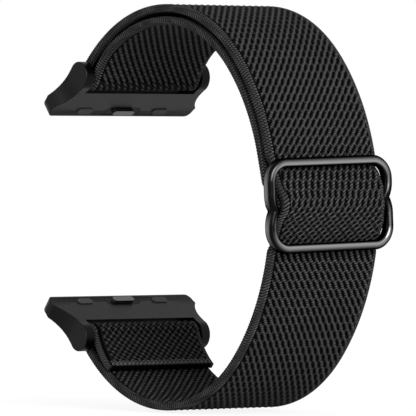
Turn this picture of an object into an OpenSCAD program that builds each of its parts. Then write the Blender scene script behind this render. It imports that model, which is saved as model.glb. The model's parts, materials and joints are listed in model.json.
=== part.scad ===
// Elastic watch band: one woven stretch webbing, a double window slide buckle and two
// lug connectors with sprung latches.
// X runs across the webbing, +Y points at the side the watch goes on, +Z is up.
// The origin is the centre of the wrist opening.

/* [Webbing] */
// Width of the woven webbing
band_w = 23.6; // [18:0.2:26]
// Thickness of one layer of webbing
band_t = 1.5; // [1.2:0.1:1.8]
// Radius of the worn loop, measured to the outer face
loop_r = 32.4; // [28:0.2:38]
// How much tighter the loop turns at its shoulders, above and below the flatter buckle side
shoulder_in = 2.9; // [2:0.1:3.6]
// Height of the straight stretch between the upper and the lower arc
side_len = 7.2; // [6:0.2:9]
// Gap between the outer layer and the return layer
layer_gap = 0.7; // [0.5:0.1:1.2]
// Angle above level at which each connector holds the webbing
bar_angle = 41.7; // [36:0.5:46]
// Radius of the arc that closes the gap after the turn round the bar
closing_r = 14; // [10:0.5:18]

/* [Sewn ends] */
// Thickness of the fold-back flap, which the seam presses thin
flap_t = 1.3; // [1:0.1:1.5]
// Gap under the fold-back flap
flap_gap = 0.1; // [0.05:0.05:0.3]
// Width of the hem strip at the end of the flap
hem_w = 1.3; // [1:0.1:2]
// Angle at which the flap ends, on the arc that closes its gap
flap_end_angle = 52.3; // [49:0.1:56]
// Thickness of the webbing end sewn round the middle bar of the buckle
sewn_t = 0.9; // [0.8:0.05:1]
// Length of each leg of that sewn end
sewn_leg = 4; // [3:0.25:4.5]
// Thickness of the sewing thread
thread_d = 0.36; // [0.3:0.02:0.5]
// Distance between two stitches
stitch_pitch = 0.9; // [0.7:0.05:1.4]

/* [Buckle] */
// Distance between the centres of the upper and the lower bar
buckle_h = 14.9; // [14.4:0.1:17]
// How far up the side the buckle is set
buckle_up = 0.7; // [-2:0.1:5]
// Angle by which the buckle sits askew on the webbing
buckle_tilt = 1.7; // [0:0.1:2]
// Room between each edge of the webbing and the side rail of the buckle
buckle_room = 0.25; // [0.2:0.05:0.6]
// Width of the rounded section that the buckle frame is made of
frame_bar_d = 1.7; // [1.4:0.1:1.9]
// Depth of that section, square to the band
frame_depth = 2.2; // [2:0.1:2.6]
// How far the side rails draw in at the middle bar
pinch = 0.8; // [0.3:0.05:0.85]
// How far the notch of each rail lies off the middle, up on one side and down on the other
notch_shift = 0.85; // [0:0.05:1]
// How far the middle bar lies inside the plane of the outer bars
middle_lift = 1; // [0.8:0.05:1.2]
// Diameter of the middle bar
middle_bar_d = 1.2; // [1:0.1:1.4]
// Corner radius of the buckle, at the middle of the section
buckle_corner_r = 3.35; // [2.5:0.05:3.8]
// How far the buckle squeezes each edge of the webbing in
squeeze = 1; // [0.8:0.05:1.1]

/* [Connectors] */
// Length of the lug that slides into the groove of a watch case
lug_len = 32; // [29:0.5:36]
// Thickness of the lug
lug_t = 2.6; // [2.4:0.1:3]
// Depth of the lug along the direction it points
lug_depth = 4.2; // [3.8:0.1:5]
// Distance from the loop bar to the centre of the lug
lug_reach = 8.2; // [7.8:0.1:9.5]
// Angle below level at which the lug points
lug_angle = 38.9; // [30:0.5:46]
// Thickness of each ear beside the webbing
ear_t = 1.8; // [1.6:0.1:2.4]
// Radius of the ear round the loop bar
ear_r = 2.6; // [2.3:0.1:3]
// Diameter of the loop bar
loop_bar_d = 1.8; // [1.5:0.1:2]
// Length of the latch nose
latch_len = 4.6; // [3.6:0.2:6]
// Width of the latch nose
latch_w = 1.2; // [1:0.1:1.4]
// How far the latch nose stands out of the lug
latch_rise = 0.6; // [0.4:0.05:0.7]
// Distance of the side bumpers from the middle of the lug
bumper_x = 8.4; // [6.5:0.2:10]
// Thickness of the leaf of the latch spring
spring_t = 0.15; // [0.1:0.01:0.2]

/* [Hidden] */

$fn = 96;
eps = 0.01;
// Stretches of one solid run this far into each other
lap = 0.1;
// A straight side dips this far inside the round ones it joins, so that they meet in
// clean edges
side_dip = 0.03;
// Steps that an arc takes where it is part of a drawn outline
arc_steps = 10;
webbing_colour = [0.13, 0.13, 0.14];
thread_colour = [0.2, 0.2, 0.21];
buckle_colour = [0.25, 0.25, 0.27];
connector_colour = [0.2, 0.2, 0.21];
steel_colour = [0.6, 0.6, 0.62];
bumper_colour = [0.08, 0.08, 0.08];

// Loop: two arc centres above and below the origin, one radius for each layer
arc_z = side_len / 2;
outer_mid_r = loop_r - band_t / 2;
return_mid_r = outer_mid_r - band_t - layer_gap;
flap_mid_r = outer_mid_r - band_t / 2 - flap_gap - flap_t / 2;

// Angles of the stretches, from level on the watch side and up over the top
bend_start = 78;
bend_end = 96;

// Shoulders: tighter arcs that run on from the bends. One flat arc, centred level with the
// origin, touches both shoulders and carries the buckle
shoulder_y = shoulder_in * cos(bend_end);
shoulder_z = arc_z + shoulder_in * sin(bend_end);
side_y = (pow(shoulder_y, 2) + pow(shoulder_z, 2) - pow(shoulder_in, 2))
    / (2 * (shoulder_in + shoulder_y));
side_mid_r = side_y + outer_mid_r;
return_side_r = side_mid_r - band_t - layer_gap;
run_end = 90 + atan2(side_y - shoulder_y, shoulder_z);
crossing_start = 166.5;
set_angle = buckle_up / side_mid_r * 180 / PI;

// Turn of the webbing round a loop bar
bar_clear = 0.15;
turn_mid_r = loop_bar_d / 2 + bar_clear + band_t / 2;
bar_reach = outer_mid_r - turn_mid_r;
bar_y = bar_reach * cos(bar_angle);
bar_z = arc_z + bar_reach * sin(bar_angle);

// Rows of stitches
edge_stitches = 2;
hem_angle = flap_end_angle - hem_w / closing_r * 180 / PI;
hem_stitch = hem_w * 0.8;
sewn_stitch = 1.4;
sewn_stitch_inset = 0.8;
stitch_lift = 0.01;

// Buckle: the outer bars touch the outer face, the middle bar lies under the crossing
wrap_gap = 0.05;
bar_seat = 0.15;
frame_mid_r = frame_bar_d / 2 + bar_seat + band_t / 2;
frame_bar_z = buckle_h / 2;
frame_bar_dist = side_mid_r + frame_mid_r;
frame_y = side_y - sqrt(pow(frame_bar_dist, 2) - pow(frame_bar_z, 2));
middle_y = frame_y + middle_lift;
sewn_mid_r = middle_bar_d / 2 + wrap_gap + sewn_t / 2;
crest_mid_r = sewn_mid_r + sewn_t / 2 + wrap_gap + band_t / 2;
// Line from a frame bar to the middle bar, and the slope of the webbing between them
cross_dist = norm([middle_y - frame_y, frame_bar_z]);
cross_slope = asin((frame_mid_r + crest_mid_r) / cross_dist)
    - atan2(middle_y - frame_y, frame_bar_z);
frame_touch_angle = asin(frame_bar_z / frame_bar_dist);
// Straight stretch of the return layer down to the middle bar
sewn_dist = side_y - middle_y;
leg_slope = acos((return_side_r + sewn_mid_r) / sewn_dist);
return_straight = sqrt(pow(sewn_dist, 2) - pow(return_side_r + sewn_mid_r, 2));

// Side rails: straight beside each window, then an arc that draws in to the middle bar
crossing_w = band_w - 2 * squeeze;
rail_x = band_w / 2 + buckle_room + frame_bar_d / 2;
rail_arc_r = 5;
rail_arc_angle = acos(1 - pinch / rail_arc_r);
boss_d = 2.2;
boss_w = frame_bar_d - 0.3;
boss_fit = 0.01;

// Connector, measured in its own frame: loop bar at the origin, lug along +Y
edge_clear = 0.3;
ear_x = band_w / 2 + edge_clear;
slot_room = 0.5;
slot_end = turn_mid_r + band_t / 2 + slot_room;
bar_fit = 0.01;
bore_floor = 0.5;
lug_corner_r = 0.9;
flare_r = 8;
pocket_floor = 0.5;
// Pockets are cut from this far below the lug, through its sloping underside
under = 1;
cover_t = 0.3;
cover_len = latch_len + 3;
cover_w = latch_w + 1.1;
flange_t = 0.3;
flange_len = latch_len + 1.2;
flange_w = latch_w + 0.5;
latch_clear = 0.06;
spring_gap = 0.03;
spring_w = latch_w * 0.8;
spring_chord = flange_len - 1.2;
bumper_len = 3.2;
bumper_w = 1.4;
bumper_depth = 0.5;
bumper_rise = 0.25;

// Webbing helpers

// A bar of webbing bent along an arc about the X direction, from angle a0 to angle a1
module webbing_arc(mid_r, a0, a1, t = band_t, w = band_w) {
    rotate([90, 0, 90])
        rotate([0, 0, a0])
            rotate_extrude(angle = a1 - a0)
                translate([mid_r - t / 2, -w / 2])
                    square([t, w]);
}

// A straight bar of webbing that starts at the origin and runs along +Y
module webbing_bar(len, t = band_t, w = band_w) {
    translate([-w / 2, 0, -t / 2])
        cube([w, len, t]);
}

// Puts its children at the upper arc centre
module at_upper() {
    translate([0, 0, arc_z])
        children();
}

// Puts its children at the lower arc centre, upside down
module at_lower() {
    mirror([0, 0, 1])
        at_upper()
            children();
}

// Puts its children at the centre of the upper shoulder
module at_upper_shoulder() {
    translate([0, shoulder_y, shoulder_z])
        children();
}

// Puts its children at the centre of the flat arc that carries the buckle
module at_side() {
    translate([0, side_y, 0])
        children();
}

// Moves its children, drawn about level, up along the flat arc to where the buckle is set
module at_buckle() {
    at_side()
        rotate([-set_angle, 0, 0])
            translate([0, -side_y, 0])
                children();
}

// An inner layer leaves the turn, closes its gap and runs on along its own circle mid_r
// The closing arc touches both the turn and that circle
// Angle between the loop bar and the place where the arc touches the circle
function closing_swing(mid_r) =
    let (
        far = mid_r - closing_r,
        near = closing_r + turn_mid_r
    )
    acos((pow(far, 2) + pow(bar_reach, 2) - pow(near, 2)) / (2 * far * bar_reach));

// Angle at which the arc starts, where it touches the turn
function closing_start(mid_r) =
    let (
        far = mid_r - closing_r,
        near = closing_r + turn_mid_r
    )
    bar_angle - acos((pow(near, 2) + pow(bar_reach, 2) - pow(far, 2))
        / (2 * near * bar_reach));

// Turn round a loop bar, drawn about the arc centre it belongs to, from the outer layer
// to the place where the closing arc of the inner layer starts
module bar_turn(inner_mid_r) {
    translate([0, bar_reach * cos(bar_angle), bar_reach * sin(bar_angle)])
        webbing_arc(turn_mid_r, closing_start(inner_mid_r) - 180, bar_angle);
}

// Puts its children at the centre of the closing arc
module at_closing(mid_r) {
    swing = bar_angle + closing_swing(mid_r);
    translate([0, (mid_r - closing_r) * cos(swing), (mid_r - closing_r) * sin(swing)])
        children();
}

// Webbing stretches

module webbing_upper_turn() {
    color(webbing_colour) at_upper() bar_turn(return_mid_r);
}

module webbing_lower_turn() {
    color(webbing_colour) at_lower() bar_turn(flap_mid_r);
}

module webbing_upper_end() {
    color(webbing_colour) at_upper() webbing_arc(outer_mid_r, bar_angle, bend_start);
}

module webbing_lower_end() {
    color(webbing_colour) at_lower() webbing_arc(outer_mid_r, bar_angle, bend_start);
}

module webbing_upper_bend() {
    color(webbing_colour) at_upper() webbing_arc(outer_mid_r, bend_start, bend_end);
}

module webbing_lower_bend() {
    color(webbing_colour) at_lower() webbing_arc(outer_mid_r, bend_start, bend_end);
}

module webbing_upper_run() {
    color(webbing_colour)
        at_upper_shoulder()
            webbing_arc(outer_mid_r - shoulder_in, bend_end, run_end);
}

module webbing_lower_run() {
    color(webbing_colour)
        mirror([0, 0, 1])
            at_upper_shoulder()
                webbing_arc(outer_mid_r - shoulder_in, bend_end, run_end);
}

module webbing_above_buckle() {
    color(webbing_colour)
        at_side()
            webbing_arc(side_mid_r, run_end, crossing_start - set_angle);
}

module webbing_below_buckle() {
    color(webbing_colour)
        at_side()
            webbing_arc(side_mid_r, -crossing_start - set_angle, -run_end);
}

// Points on an arc about a centre, from angle a0 to angle a1, with or without the first
function arc_points(centre, r, a0, a1, first = 0) = [
    for (i = [first : arc_steps])
        let (a = a0 + (a1 - a0) * i / arc_steps)
        centre + r * [cos(a), sin(a)]
];

// One face of the webbing inside the buckle, from the top down: past an outer bar on its
// inner side, straight out to the middle bar, over it, and the same again mirrored
// side is 1 for the outer face and -1 for the inner face
function crossing_face(side) =
    let (
        half_t = side * band_t / 2,
        half = concat(
            arc_points([side_y, 0], side_mid_r + half_t, crossing_start,
                180 - frame_touch_angle),
            arc_points([frame_y, frame_bar_z], frame_mid_r - half_t, -frame_touch_angle,
                -cross_slope, 1),
            arc_points([middle_y, 0], crest_mid_r + half_t, 180 - cross_slope, 180)
        )
    )
    concat(half, [for (i = [len(half) - 2 : -1 : 0]) [half[i][0], -half[i][1]]]);

module webbing_crossing() {
    inner = crossing_face(-1);
    color(webbing_colour)
        at_buckle()
            rotate([90, 0, 90])
                linear_extrude(crossing_w, center = true)
                    polygon(concat(
                        crossing_face(1),
                        [for (i = [len(inner) - 1 : -1 : 0]) inner[i]]
                    ));
}

module return_upper_closing() {
    color(webbing_colour)
        at_upper()
            at_closing(return_mid_r)
                webbing_arc(closing_r, closing_start(return_mid_r),
                    bar_angle + closing_swing(return_mid_r));
}

module return_upper_end() {
    color(webbing_colour)
        at_upper()
            webbing_arc(return_mid_r, bar_angle + closing_swing(return_mid_r), bend_start);
}

module return_bend() {
    color(webbing_colour) at_upper() webbing_arc(return_mid_r, bend_start, bend_end);
}

module return_run() {
    color(webbing_colour)
        at_upper_shoulder()
            webbing_arc(return_mid_r - shoulder_in, bend_end, run_end);
}

// Puts its children where the straight part of the return layer meets the middle bar's
// wrap, with +Y running up along the webbing
module at_return_foot() {
    at_buckle()
        translate([0, middle_y, 0])
            rotate([90 - leg_slope, 0, 0])
                translate([0, 0, -sewn_mid_r])
                    children();
}

module return_above_buckle() {
    color(webbing_colour)
        at_side()
            webbing_arc(return_side_r, run_end, 180 - leg_slope - set_angle);
}

module return_near_buckle() {
    color(webbing_colour)
        at_return_foot()
            translate([0, sewn_leg, 0])
                webbing_bar(return_straight - sewn_leg);
}

// One leg of the sewn end, from the wrap round the middle bar along +Y
module sewn_end_leg() {
    translate([0, -lap, 0])
        webbing_bar(sewn_leg + lap, sewn_t - 2 * side_dip, crossing_w - 2 * side_dip);
}

module return_sewn_end() {
    color(webbing_colour) {
        at_return_foot()
            sewn_end_leg();
        at_buckle()
            translate([0, middle_y, 0]) {
                webbing_arc(sewn_mid_r, 180 - cross_slope, 360 - leg_slope, sewn_t,
                    crossing_w);
                rotate([180 - cross_slope, 0, 0])
                    translate([0, sewn_mid_r, 0])
                        rotate([-90, 0, 0])
                            sewn_end_leg();
            }
    }
}

// A row of stitches across the webbing, each a short piece of thread along +Y
module stitch_row(len) {
    count = floor(band_w / stitch_pitch) - edge_stitches;
    for (i = [0 : count])
        translate([(i - count / 2) * stitch_pitch, 0, 0])
            rotate([-90, 0, 0])
                cylinder(d = thread_d, h = len);
}

module sewn_end_stitching() {
    color(thread_colour)
        at_return_foot()
            translate([0, sewn_leg - sewn_stitch_inset - sewn_stitch,
                -sewn_t / 2 - thread_d / 2 - stitch_lift])
                stitch_row(sewn_stitch);
}

module fold_back_flap() {
    color(webbing_colour)
        at_lower()
            at_closing(flap_mid_r)
                webbing_arc(closing_r, closing_start(flap_mid_r), hem_angle, flap_t);
}

module flap_hem() {
    color(webbing_colour)
        at_lower()
            at_closing(flap_mid_r)
                webbing_arc(closing_r, hem_angle, flap_end_angle, flap_t);
}

module hem_stitching() {
    color(thread_colour)
        at_lower()
            at_closing(flap_mid_r)
                rotate([(hem_angle + flap_end_angle) / 2, 0, 0])
                    translate([0, closing_r - flap_t / 2 - thread_d / 2 - stitch_lift, 0])
                        rotate([90, 0, 0])
                            translate([0, -hem_stitch / 2, 0])
                                stitch_row(hem_stitch);
}

// Buckle

// Section of the frame: round on the inside and the outside, standing on the inner side
module frame_section(width = frame_bar_d) {
    step = frame_depth - frame_bar_d;
    circle(d = width);
    translate([0, -step / 2])
        square([width - 2 * side_dip, step], center = true);
    translate([0, -step])
        circle(d = width);
}

// A straight stretch of the frame along +X, centred on the origin, a little thinner than
// the bent ones that it runs into
module frame_straight(len) {
    rotate([90, 0, 90])
        linear_extrude(len, center = true)
            rotate([0, 0, -90])
                frame_section(frame_bar_d - 2 * side_dip);
}

// A bent stretch of the frame in the plane of the buckle, from angle a0 to angle a1
module frame_bend(r, a0, a1) {
    rotate([90, 0, 0])
        rotate([0, 0, a0])
            rotate_extrude(angle = a1 - a0)
                translate([r, 0])
                    mirror([0, 1])
                        frame_section();
}

// One quarter of the frame: half a bar, a corner, the rail and its draw-in, which ends in a
// notch at height notch
module frame_quarter(notch) {
    bar_len = rail_x - buckle_corner_r;
    arc_top = notch + rail_arc_r * sin(rail_arc_angle);
    rail_len = frame_bar_z - buckle_corner_r - arc_top;
    translate([bar_len / 2, 0, frame_bar_z])
        frame_straight(bar_len + 2 * lap);
    translate([bar_len, 0, frame_bar_z - buckle_corner_r])
        frame_bend(buckle_corner_r, 0, 90);
    translate([rail_x, 0, arc_top + rail_len / 2])
        rotate([0, 90, 0])
            frame_straight(rail_len + 2 * lap);
    // The drawn-in arc, cut off where it meets its mirror image
    difference() {
        translate([rail_x - rail_arc_r, 0, arc_top])
            frame_bend(rail_arc_r, -2 * rail_arc_angle, 0);
        translate([0, -frame_depth, notch - frame_bar_z])
            cube([2 * rail_x, 2 * frame_depth, frame_bar_z]);
    }
}

// Half of the frame, with the rail on the +X side
module frame_half() {
    frame_quarter(notch_shift);
    mirror([0, 0, 1])
        frame_quarter(-notch_shift);
}

module buckle_frame() {
    color(buckle_colour)
        at_buckle()
            difference() {
                union() {
                    translate([0, frame_y, 0])
                        rotate([0, -buckle_tilt, 0])
                            for (turned = [0, 180])
                                rotate([0, turned, 0])
                                    frame_half();
                    // Bosses that hold the ends of the middle bar
                    for (s = [-1, 1])
                        translate([s * (rail_x - pinch), middle_y, 0])
                            rotate([0, 90, 0])
                                cylinder(d = boss_d, h = boss_w, center = true);
                }
                translate([0, middle_y, 0])
                    rotate([0, 90, 0])
                        cylinder(d = middle_bar_d + 2 * boss_fit, h = 2 * (rail_x - pinch),
                            center = true);
            }
}

module buckle_middle_bar() {
    color(buckle_colour)
        at_buckle()
            translate([0, middle_y, 0])
                rotate([0, 90, 0])
                    cylinder(d = middle_bar_d, h = 2 * (rail_x - pinch - boss_fit),
                        center = true);
}

// Connectors

// Puts its children in the frame of the upper connector: loop bar at the origin,
// lug along +Y, outer side of the band along +Z
module at_upper_connector() {
    translate([0, bar_y, bar_z])
        rotate([-lug_angle, 0, 0])
            children();
}

// The lower connector is the upper one upside down
module at_lower_connector() {
    mirror([0, 0, 1])
        at_upper_connector()
            children();
}

// A flat slot shape with round ends, standing on z = 0
module round_slot(len, width, height) {
    linear_extrude(height) {
        square([len - width, width], center = true);
        for (s = [-1, 1])
            translate([s * (len - width) / 2, 0])
                circle(d = width);
    }
}

// Side view of the ears and the lug, with y to the right and z up
module connector_side() {
    slope = asin((ear_r - lug_t / 2) / lug_reach);
    ear_in = ear_r - side_dip;
    lug_in = lug_t / 2 - side_dip;
    circle(r = ear_r);
    polygon([
        [0, 0],
        [ear_in * sin(slope), -ear_in * cos(slope)],
        [lug_reach + lug_in * sin(slope), -lug_in * cos(slope)],
        [lug_reach + lug_in * sin(slope), lug_in * cos(slope)],
        [ear_in * sin(slope), ear_in * cos(slope)]
    ]);
    lug_section();
}

module lug_section() {
    flat = lug_t / 2 - lug_corner_r;
    deep = lug_depth / 2 - lug_corner_r;
    translate([lug_reach, 0]) {
        square([2 * deep, lug_t], center = true);
        square([lug_depth, 2 * flat], center = true);
        for (sy = [-1, 1], sz = [-1, 1])
            translate([sy * deep, sz * flat])
                circle(r = lug_corner_r);
    }
}

// Plan of the connector: ears that flare out to the ends of the lug
module connector_plan() {
    ear_out = ear_x + ear_t;
    flare = lug_len / 2 - ear_out;
    flare_run = sqrt(2 * flare_r * flare - pow(flare, 2));
    flare_y = lug_reach - lug_depth / 4 - flare_run;
    for (s = [-1, 1])
        scale([s, 1]) {
            translate([ear_x, -ear_r])
                square([ear_t, lug_reach + ear_r]);
            difference() {
                translate([ear_x, flare_y])
                    square([lug_len / 2 - ear_x, lug_reach - flare_y]);
                translate([ear_out + flare_r, flare_y])
                    circle(r = flare_r);
            }
        }
    translate([-ear_x - eps, 0])
        square([2 * ear_x + 2 * eps, lug_reach]);
    translate([0, lug_reach]) {
        square([lug_len - lug_depth, lug_depth], center = true);
        for (s = [-1, 1])
            translate([s * (lug_len - lug_depth) / 2, 0])
                circle(d = lug_depth);
    }
}

module connector_body() {
    difference() {
        intersection() {
            rotate([90, 0, 90])
                linear_extrude(lug_len, center = true)
                    connector_side();
            linear_extrude(3 * ear_r, center = true)
                connector_plan();
        }
        // Slot that the webbing turns through
        rotate([0, 90, 0])
            cylinder(r = slot_end, h = 2 * ear_x, center = true);
        translate([-ear_x, -2 * ear_r, -ear_r - 1])
            cube([2 * ear_x, 2 * ear_r, 2 * ear_r + 2]);
        // Bore of the loop bar: blind in the left ear, open in the right one
        rotate([0, 90, 0])
            translate([0, 0, -ear_x - ear_t + bore_floor])
                cylinder(d = loop_bar_d + 2 * bar_fit, h = 2 * (ear_x + ear_t));
        // Pocket of the latch, with the seat of its cover
        translate([0, lug_reach, -lug_t / 2 - under]) {
            round_slot(cover_len, cover_w, cover_t + under);
            round_slot(flange_len + 2 * latch_clear, flange_w + 2 * latch_clear,
                lug_t - pocket_floor + under);
        }
        // Pockets of the side bumpers
        for (s = [-1, 1])
            translate([s * bumper_x, lug_reach, -lug_t / 2 - under])
                round_slot(bumper_len, bumper_w, bumper_depth + under);
    }
}

module loop_bar() {
    rotate([0, 90, 0])
        translate([0, 0, -ear_x - ear_t + bore_floor + bar_fit])
            cylinder(d = loop_bar_d, h = 2 * (ear_x + ear_t) - bore_floor - 2 * bar_fit);
}

module latch_button() {
    translate([0, lug_reach, -lug_t / 2]) {
        translate([0, 0, cover_t + latch_clear])
            round_slot(flange_len, flange_w, flange_t);
        translate([0, 0, -latch_rise])
            round_slot(latch_len, latch_w, latch_rise + cover_t + latch_clear + flange_t / 2);
    }
}

// A bowed leaf between the flange of the latch and the floor of its pocket
module latch_spring() {
    room = lug_t - pocket_floor - cover_t - latch_clear - flange_t;
    rise = room - spring_t - 2 * spring_gap;
    bow_r = (pow(spring_chord / 2, 2) + pow(rise, 2)) / (2 * rise);
    half = asin(spring_chord / 2 / bow_r);
    top = lug_t / 2 - pocket_floor - spring_gap;
    translate([0, lug_reach + spring_w / 2, top - bow_r])
        rotate([90, 0, 0])
            rotate([0, 0, 90 - half])
                rotate_extrude(angle = 2 * half)
                    translate([bow_r - spring_t, 0])
                        square([spring_t, spring_w]);
}

module latch_cover() {
    translate([0, lug_reach, -lug_t / 2])
        difference() {
            round_slot(cover_len - 2 * eps, cover_w - 2 * eps, cover_t);
            translate([0, 0, -eps])
                round_slot(latch_len + 2 * latch_clear, latch_w + 2 * latch_clear,
                    cover_t + 2 * eps);
        }
}

module side_bumpers() {
    for (s = [-1, 1])
        translate([s * bumper_x, lug_reach, -lug_t / 2 - bumper_rise])
            round_slot(bumper_len - 2 * eps, bumper_w - 2 * eps, bumper_depth + bumper_rise);
}

module upper_connector_body() {
    color(connector_colour) at_upper_connector() connector_body();
}

module lower_connector_body() {
    color(connector_colour) at_lower_connector() connector_body();
}

module upper_loop_bar() {
    color(steel_colour) at_upper_connector() loop_bar();
}

module lower_loop_bar() {
    color(steel_colour) at_lower_connector() loop_bar();
}

module upper_latch_button() {
    color(steel_colour) at_upper_connector() latch_button();
}

module lower_latch_button() {
    color(steel_colour) at_lower_connector() latch_button();
}

module upper_latch_spring() {
    color(steel_colour) at_upper_connector() latch_spring();
}

module lower_latch_spring() {
    color(steel_colour) at_lower_connector() latch_spring();
}

module upper_latch_cover() {
    color(connector_colour) at_upper_connector() latch_cover();
}

module lower_latch_cover() {
    color(connector_colour) at_lower_connector() latch_cover();
}

module upper_side_bumpers() {
    color(bumper_colour) at_upper_connector() side_bumpers();
}

module lower_side_bumpers() {
    color(bumper_colour) at_lower_connector() side_bumpers();
}

webbing_upper_turn();
webbing_upper_end();
webbing_upper_bend();
webbing_upper_run();
webbing_above_buckle();
webbing_crossing();
webbing_below_buckle();
webbing_lower_run();
webbing_lower_bend();
webbing_lower_end();
webbing_lower_turn();
return_upper_closing();
return_upper_end();
return_bend();
return_run();
return_above_buckle();
return_near_buckle();
return_sewn_end();
sewn_end_stitching();
fold_back_flap();
flap_hem();
hem_stitching();
buckle_frame();
buckle_middle_bar();
upper_connector_body();
upper_loop_bar();
upper_latch_button();
upper_latch_spring();
upper_latch_cover();
upper_side_bumpers();
lower_connector_body();
lower_loop_bar();
lower_latch_button();
lower_latch_spring();
lower_latch_cover();
lower_side_bumpers();
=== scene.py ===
# %% [markdown]
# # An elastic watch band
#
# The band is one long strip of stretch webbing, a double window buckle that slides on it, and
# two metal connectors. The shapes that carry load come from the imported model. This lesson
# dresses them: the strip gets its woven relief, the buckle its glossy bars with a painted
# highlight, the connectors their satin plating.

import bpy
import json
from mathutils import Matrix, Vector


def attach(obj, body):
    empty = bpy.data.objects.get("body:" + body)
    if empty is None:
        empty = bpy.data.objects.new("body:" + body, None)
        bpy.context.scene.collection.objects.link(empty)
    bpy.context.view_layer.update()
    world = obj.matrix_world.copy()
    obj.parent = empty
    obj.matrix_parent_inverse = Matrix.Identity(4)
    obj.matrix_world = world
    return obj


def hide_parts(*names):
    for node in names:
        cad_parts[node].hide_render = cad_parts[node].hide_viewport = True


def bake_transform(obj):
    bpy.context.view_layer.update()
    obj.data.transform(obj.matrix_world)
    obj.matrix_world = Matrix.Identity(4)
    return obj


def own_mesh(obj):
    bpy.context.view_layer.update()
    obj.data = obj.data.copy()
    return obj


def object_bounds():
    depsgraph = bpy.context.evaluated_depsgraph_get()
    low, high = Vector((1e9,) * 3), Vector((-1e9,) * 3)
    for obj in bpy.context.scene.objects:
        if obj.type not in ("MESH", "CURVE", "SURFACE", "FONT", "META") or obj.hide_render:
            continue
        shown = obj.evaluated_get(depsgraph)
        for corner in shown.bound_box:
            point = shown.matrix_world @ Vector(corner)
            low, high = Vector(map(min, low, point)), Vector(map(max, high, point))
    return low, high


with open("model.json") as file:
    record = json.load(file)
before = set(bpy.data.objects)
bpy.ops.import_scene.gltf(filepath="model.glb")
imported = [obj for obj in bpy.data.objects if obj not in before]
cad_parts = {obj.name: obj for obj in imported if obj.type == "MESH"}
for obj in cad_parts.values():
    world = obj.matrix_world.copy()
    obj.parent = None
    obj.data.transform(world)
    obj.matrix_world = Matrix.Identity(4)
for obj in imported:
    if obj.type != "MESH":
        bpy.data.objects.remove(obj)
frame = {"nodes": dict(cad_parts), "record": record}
cad_box = [list(corner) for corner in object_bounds()]

# %% [markdown]
# ## Measurements
#
# Seen from the side, the strip follows a few arcs. Their sizes are repeated here in
# millimetres, as they are in the part, so that the relief lies exactly on the plain solids.

# %% Measurements of the part, in millimetres
import json
import math

import bmesh
import bpy
import numpy as np
from mathutils import Matrix, Vector

MM = 0.001
BAND_W, BAND_T = 23.6, 1.5
LOOP_R, SHOULDER_IN, SIDE_LEN, LAYER_GAP = 32.4, 2.9, 7.2, 0.7
BAR_ANGLE, CLOSING_R, LOOP_BAR_D = 41.7, 14.0, 1.8
FLAP_T, FLAP_GAP, HEM_W, FLAP_END = 1.3, 0.1, 1.3, 52.3
BUCKLE_H, BUCKLE_UP, BUCKLE_TILT, BUCKLE_ROOM = 14.9, 0.7, 1.7, 0.25
FRAME_D, FRAME_DEPTH, CORNER_R, RAIL_ARC_R = 1.7, 2.2, 3.35, 5.0
PINCH, NOTCH_SHIFT, MIDDLE_LIFT, MIDDLE_D = 0.8, 0.85, 1.0, 1.2
SEWN_T, SEWN_LEG = 0.9, 4.0
THREAD_D, STITCH_PITCH = 0.36, 0.9
# Room round a loop bar, round a bar of the buckle, and between the wraps at its middle bar
BAR_CLEAR, BAR_SEAT, WRAP_GAP = 0.15, 0.15, 0.05
# Angles at which the stretches of the strip are cut
BEND_START, BEND_END, CROSSING = 78.0, 96.0, 166.5


def ray(angle, length, centre=(0.0, 0.0)):
    """Y and Z of a point at an angle from level and a distance from a centre."""
    a = math.radians(angle)
    return centre[0] + length * math.cos(a), centre[1] + length * math.sin(a)


TOP = (0.0, SIDE_LEN / 2)
OUTER_R = LOOP_R - BAND_T / 2
RETURN_R = OUTER_R - BAND_T - LAYER_GAP
FLAP_R = OUTER_R - BAND_T / 2 - FLAP_GAP - FLAP_T / 2
TURN_R = LOOP_BAR_D / 2 + BAR_CLEAR + BAND_T / 2
BAR_REACH = OUTER_R - TURN_R
LOOP_BAR = ray(BAR_ANGLE, BAR_REACH, TOP)

SHOULDER = ray(BEND_END, SHOULDER_IN, TOP)
SIDE_Y = (SHOULDER[0] ** 2 + SHOULDER[1] ** 2 - SHOULDER_IN**2) / (
    2 * (SHOULDER_IN + SHOULDER[0])
)
SIDE = (SIDE_Y, 0.0)
SIDE_R = SIDE_Y + OUTER_R
RETURN_SIDE_R = SIDE_R - BAND_T - LAYER_GAP
RUN_END = 90 + math.degrees(math.atan2(SIDE_Y - SHOULDER[0], SHOULDER[1]))
SET = math.degrees(BUCKLE_UP / SIDE_R)

FRAME_R = FRAME_D / 2 + BAR_SEAT + BAND_T / 2
BAR_HALF = BUCKLE_H / 2
FRAME_Y = SIDE_Y - math.sqrt((SIDE_R + FRAME_R) ** 2 - BAR_HALF**2)
MIDDLE_Y = FRAME_Y + MIDDLE_LIFT
SEWN_R = MIDDLE_D / 2 + WRAP_GAP + SEWN_T / 2
CREST_R = SEWN_R + SEWN_T / 2 + WRAP_GAP + BAND_T / 2
CROSS_SLOPE = math.degrees(
    math.asin((FRAME_R + CREST_R) / math.hypot(MIDDLE_LIFT, BAR_HALF))
    - math.atan2(MIDDLE_LIFT, BAR_HALF)
)
TOUCH = math.degrees(math.asin(BAR_HALF / (SIDE_R + FRAME_R)))
LEG_SLOPE = math.degrees(math.acos((RETURN_SIDE_R + SEWN_R) / (SIDE_Y - MIDDLE_Y)))
RETURN_STRAIGHT = math.sqrt((SIDE_Y - MIDDLE_Y) ** 2 - (RETURN_SIDE_R + SEWN_R) ** 2)
RAIL_X = BAND_W / 2 + BUCKLE_ROOM + FRAME_D / 2
print(f"flat side: centre y {SIDE_Y:.2f}, radius {SIDE_R:.2f}, shoulders end at {RUN_END:.1f}")
print(f"buckle bars at y {FRAME_Y:.2f}, z {BAR_HALF:.2f}; loop bar at {LOOP_BAR}")

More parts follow.
